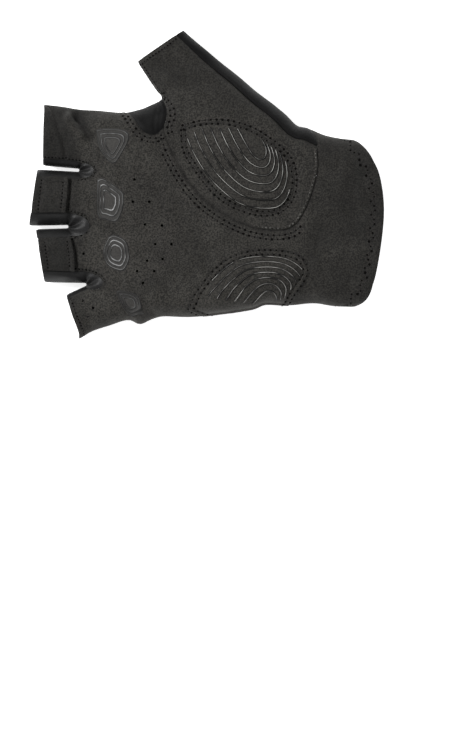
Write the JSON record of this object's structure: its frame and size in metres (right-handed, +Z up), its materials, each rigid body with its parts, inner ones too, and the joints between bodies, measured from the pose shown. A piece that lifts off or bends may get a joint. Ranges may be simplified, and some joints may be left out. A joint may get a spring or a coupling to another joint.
{
  "type": "cycling glove",
  "caption": "Fingerless right-hand cycling glove lying palm up, with suede palm, ribbed gel pads, ringed grip patches, knit back and a slanted stretch cuff.",
  "frame": {"origin": "middle of the glove's outline, on the table that its back lies on", "axes": "+X from the fingers to the cuff, +Y to the thumb, +Z up out of the palm"},
  "size_m": [0.163, 0.1423, 0.0231],
  "materials": {
    "suede": "brushed synthetic suede, warm grey black",
    "stretch": "smooth black stretch fabric",
    "knit": "black knit with rows of short dimples",
    "gel_pad": "suede over gel with thin rubbery ribs",
    "grip_print": "satin rings printed in rubber"
  },
  "bodies": {
    "root": {"palm_panel": "suede", "thumb_panel": "suede", "thumb_wipe": "suede", "middle_pull_tab": "suede", "ring_pull_tab": "suede", "thumb_gusset": "stretch", "thumb_side_panel": "stretch", "cuff_back": "stretch", "index_middle_fourchette": "stretch", "middle_ring_fourchette": "stretch", "ring_little_fourchette": "stretch", "back_panel": "knit", "thenar_pad": "gel_pad", "hypothenar_pad": "gel_pad", "index_grip": "grip_print", "middle_grip": "grip_print", "ring_grip": "grip_print", "little_grip": "grip_print"}
  },
  "joints": []
}
